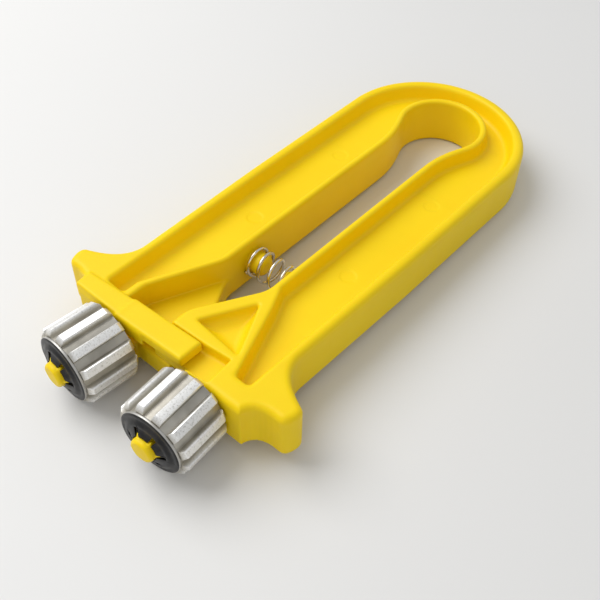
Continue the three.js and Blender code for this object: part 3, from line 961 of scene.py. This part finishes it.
def wheel_alloy(name, matrix):
    """Bright crests with a cast sparkle; the grooves and end faces are painted darker, as painted shade."""
    n = Nodes(name)
    axle = from_axle(n, matrix)
    # Mask from the axle: 0 below the crests, 1 on them. Grooves and end faces get the painted shade colours.
    high = n.span(axle, low=0.0, high=1.0, start=(TIP_R - CREST_FROM) * MM, end=(TIP_R - CREST_FULL) * MM)
    sparkle = n.noise(2600.0, detail=3.0, rough=0.65)
    patch = n.noise(210.0, detail=3.0)
    crest = n.ramp(sparkle, (0.30, CREST_DULL), (0.48, CREST_PALE), (0.8, CREST_BRIGHT))
    # Painted shade for the grooves and end faces, with a random patchy tone.
    groove = n.ramp(patch, (0.3, GROOVE_SHADE_DARK), (0.7, GROOVE_SHADE_PALE))
    n.set(Base_Color=mix(n, high, groove, crest))
    n.set(Metallic=n.span(high, low=0.95, high=0.78), Roughness=n.span(high, low=0.42, high=0.46))
    uneven = n.bump(patch, distance=0.00008, strength=0.25)
    n.set(Normal=n.bump(sparkle, distance=0.00003, strength=0.55, onto=uneven))
    return n.material


def black_steel(name, matrix):
    """Blackened spring steel, with a painted highlight along its outer edge."""
    n = Nodes(name)
    worn = n.noise(420.0, detail=5.0, rough=0.6)
    dark = n.ramp(worn, (0.45, STEEL_DARK), (0.9, STEEL_WORN))
    axle = from_axle(n, matrix)
    # Painted highlight: the base colour turns pale towards the outer edge.
    rim_highlight = n.span(axle, low=0.0, high=RIM_HIGHLIGHT_MOST, start=(WASHER_R - RIM_HIGHLIGHT_FROM) * MM, end=(WASHER_R - RIM_HIGHLIGHT_FULL) * MM)
    n.set(Base_Color=mix(n, rim_highlight, dark, STEEL_RIM_HIGHLIGHT), Metallic=0.8)
    n.set(Roughness=n.span(n.noise(700.0), low=0.30, high=0.48))
    n.set(Normal=n.bump(n.noise(1100.0), distance=0.00003, strength=0.5))
    return n.material


def bright_wire():
    n = Nodes("bright_spring_wire")
    tone = n.noise(260.0, detail=3.0)
    n.set(Base_Color=n.ramp(tone, (0.3, WIRE_DULL), (0.7, WIRE_BRIGHT)), Metallic=1.0)
    n.set(Roughness=n.span(n.noise(900.0), low=0.14, high=0.28))
    n.set(Normal=n.bump(n.noise(1500.0), distance=0.00001, strength=0.4))
    return n.material


def pale_floor():
    n = Nodes("pale_floor")
    n.set(Base_Color=n.ramp(n.noise(3.0, detail=2.0), (0.3, FLOOR_DARK), (0.7, FLOOR_PALE)))
    n.set(Roughness=n.span(n.noise(40.0), low=0.55, high=0.65))
    return n.material


def dress(obj, material):
    obj.data.materials.clear()
    obj.data.materials.append(material)


# ---------------------------------------------------------------- assembly

yellow, wire = yellow_plastic(), bright_wire()

handle = build_handle()
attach(handle["handle_left"], "left_side")
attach(handle["handle_right"], "right_side")
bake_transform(handle["handle_bow"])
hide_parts("left_arm")
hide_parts("right_arm")
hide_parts("bow")
for piece in handle.values():
    dress(piece, yellow)

for side, phase in (("left", LEFT_PHASE), ("right", RIGHT_PHASE)):
    place = axle_matrix(side + "_wheel_spin")
    toothed = build_wheel(side + "_crimp_wheel", phase, place)
    dress(toothed, wheel_alloy(side + "_wheel_alloy", place))
    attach(toothed, side + "_wheel_body")
    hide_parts(side + "_wheel")
    washer = build_washer(side + "_star_disc", place)
    dress(washer, black_steel(side + "_black_steel", place))
    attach(washer, side + "_side")
    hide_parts(side + "_star_washer")
    pin = build_pin(side + "_pin", place)
    dress(pin, yellow)
    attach(pin, side + "_side")
    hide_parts(side + "_axle_pin")

spring = build_spring()
dress(spring, wire)
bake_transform(spring)
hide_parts("coil_spring")

# ---------------------------------------------------------------- floor, light, camera

# The tool rests on its wheels and on the bow, this far in from the rear, so the floor is tilted to meet both
BOW_REST_IN = 4
WHEEL_Y = JOINTS["right_wheel_spin"]["pos_m"][1]
BOW_REST_Y = (REAR_Y - BOW_REST_IN) * MM
SLOPE = LOW_Z * MM / (BOW_REST_Y - WHEEL_Y)
FLOOR_HALF_M = 6.0
FLOOR_CELLS = 12
FLOOR_BELOW = 0.02

SKY_COLOUR, SKY_STRENGTH = (0.95, 0.97, 1.0, 1), 0.56
KEY_PLACE, KEY_SIZE, KEY_POWER = (-0.34, -0.10, 0.46), 0.50, 2.7
FILL_PLACE, FILL_SIZE, FILL_POWER = (0.35, -0.45, 0.40), 0.50, 0.35

CAMERA_PLACE = (93.96, -117.04, 153.33)
CAMERA_AZIMUTH, CAMERA_ELEVATION, CAMERA_ROLL = (math.radians(a) for a in (40.19, 47.93, 1.70))
CAMERA_LENS, CAMERA_SENSOR = 52.52, 36
CAMERA_NEAR_M = 0.01


def build_floor():
    n = FLOOR_CELLS
    step = np.linspace(-FLOOR_HALF_M, FLOOR_HALF_M, n + 1) / MM
    points = [(x, y, SLOPE * (y - WHEEL_Y / MM) - FLOOR_BELOW) for y in step for x in step]
    faces = [
        (j * (n + 1) + i, j * (n + 1) + i + 1, (j + 1) * (n + 1) + i + 1, (j + 1) * (n + 1) + i)
        for j in range(n) for i in range(n)
    ]
    floor = new_object("floor", points, faces, smooth=False)
    floor.data.materials.append(pale_floor())


def area_light(name, place, size, power):
    """White disk light aimed at the frame's origin."""
    data = bpy.data.lights.new(name, "AREA")
    data.shape, data.size, data.energy, data.color = "DISK", size, power, (1, 1, 1)
    light = bpy.data.objects.new(name, data)
    light.location = place
    light.rotation_euler = (Vector((0, 0, 0)) - Vector(place)).to_track_quat("-Z", "Y").to_euler()
    bpy.context.scene.collection.objects.link(light)


def build_studio():
    world = bpy.data.worlds.new("studio")
    world.use_nodes = True
    background = world.node_tree.nodes["Background"]
    background.inputs["Color"].default_value = SKY_COLOUR
    background.inputs["Strength"].default_value = SKY_STRENGTH
    bpy.context.scene.world = world
    area_light("key", KEY_PLACE, KEY_SIZE, KEY_POWER)
    area_light("fill", FILL_PLACE, FILL_SIZE, FILL_POWER)
    bpy.context.scene.view_settings.view_transform = "Standard"


def build_camera():
    """Camera looking along its azimuth and elevation, then rolled about its view line."""
    data = bpy.data.cameras.new("camera")
    camera = bpy.data.objects.new("camera", data)
    bpy.context.scene.collection.objects.link(camera)
    level = math.cos(CAMERA_ELEVATION)
    forward = -Vector((
        math.sin(CAMERA_AZIMUTH) * level, -math.cos(CAMERA_AZIMUTH) * level, math.sin(CAMERA_ELEVATION),
    ))
    right = forward.cross(Vector((0, 0, 1))).normalized()
    up = right.cross(forward)
    turned_right = math.cos(CAMERA_ROLL) * right + math.sin(CAMERA_ROLL) * up
    turned_up = -math.sin(CAMERA_ROLL) * right + math.cos(CAMERA_ROLL) * up
    rotation = Matrix((turned_right, turned_up, -forward)).transposed()
    camera.matrix_world = Matrix.Translation(Vector(CAMERA_PLACE) * MM) @ rotation.to_4x4()
    data.lens = CAMERA_LENS
    data.sensor_width = CAMERA_SENSOR
    data.clip_start = CAMERA_NEAR_M
    bpy.context.scene.camera = camera


build_floor()
build_studio()
build_camera()
